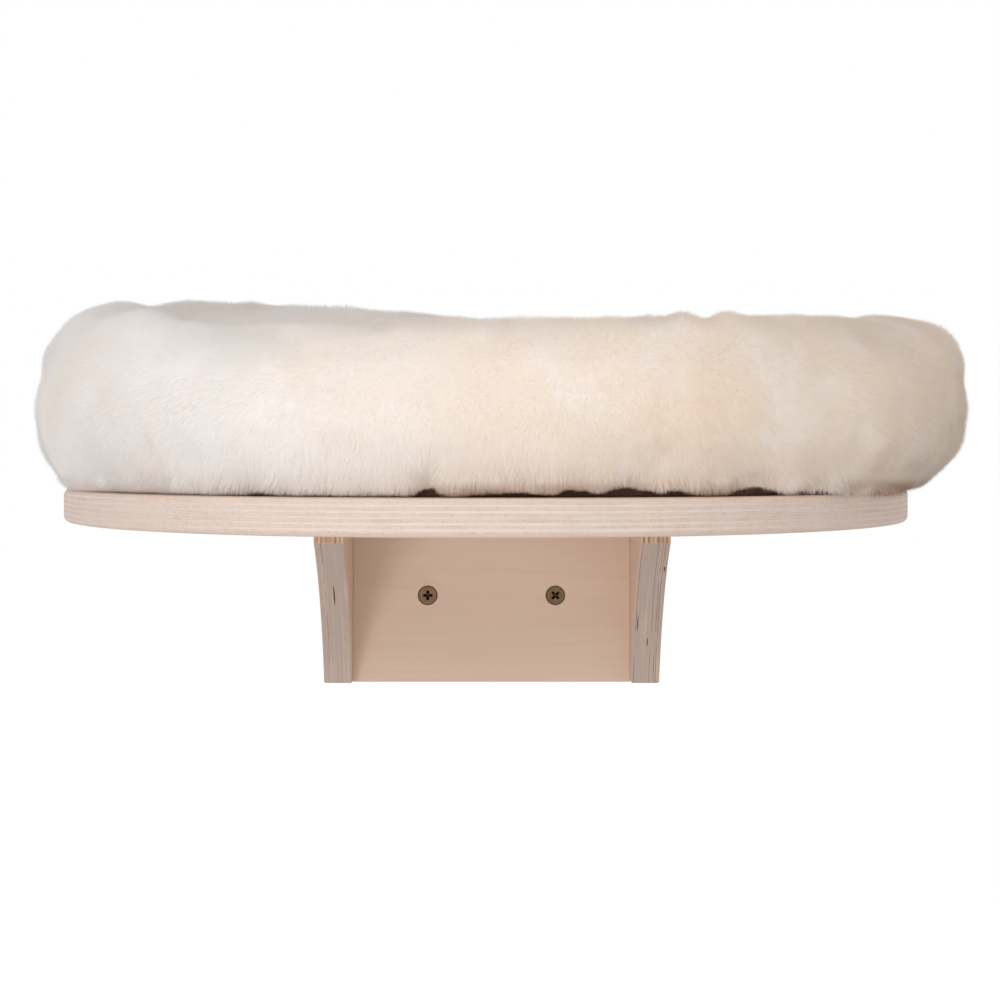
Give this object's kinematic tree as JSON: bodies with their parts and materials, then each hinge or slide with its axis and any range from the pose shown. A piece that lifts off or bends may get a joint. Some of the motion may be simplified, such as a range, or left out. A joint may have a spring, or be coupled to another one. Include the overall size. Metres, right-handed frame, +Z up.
{
  "type": "wall-mounted cat bed",
  "caption": "Plush ring bed on a half-oval plywood shelf, carried by a plywood bracket that is screwed to a wall; the bed lifts off.",
  "frame": {"origin": "on the back of the wall plate, midway between its two screw holes", "axes": "+Z up, +Y into the wall, +X to the right as one faces the wall"},
  "size_m": [0.5413, 0.3998, 0.2385],
  "materials": {
    "birch_plywood": "white-washed, sanded",
    "zinc_screw": "yellow-passivated zinc",
    "dowel": "raw beech",
    "plush": "short dense pile",
    "stuffing": "loose fibre",
    "base_cloth": "matt woven",
    "grip_strip": "hook and loop"
  },
  "bodies": {
    "shelf": {"shelf_board": "birch_plywood", "left_side": "birch_plywood", "right_side": "birch_plywood", "wall_plate": "birch_plywood", "wall_screw_left": "zinc_screw", "wall_screw_right": "zinc_screw", "shelf_screw_back_left": "zinc_screw", "shelf_screw_front_left": "zinc_screw", "shelf_screw_back_right": "zinc_screw", "shelf_screw_front_right": "zinc_screw", "dowel_lower_left": "dowel", "dowel_upper_left": "dowel", "dowel_lower_right": "dowel", "dowel_upper_right": "dowel", "hook_strip_left": "grip_strip", "hook_strip_right": "grip_strip"},
    "bed": {"ring_cover": "plush", "ring_stuffing": "stuffing", "pad_cover": "plush", "pad_stuffing": "stuffing", "base_cloth": "base_cloth", "loop_strip_left": "grip_strip", "loop_strip_right": "grip_strip"}
  },
  "joints": [
    {"name": "bed_lift", "type": "slide", "parent": "shelf", "child": "bed", "axis": [0, 0, 1], "range_m": [0, 0.25]}
  ]
}
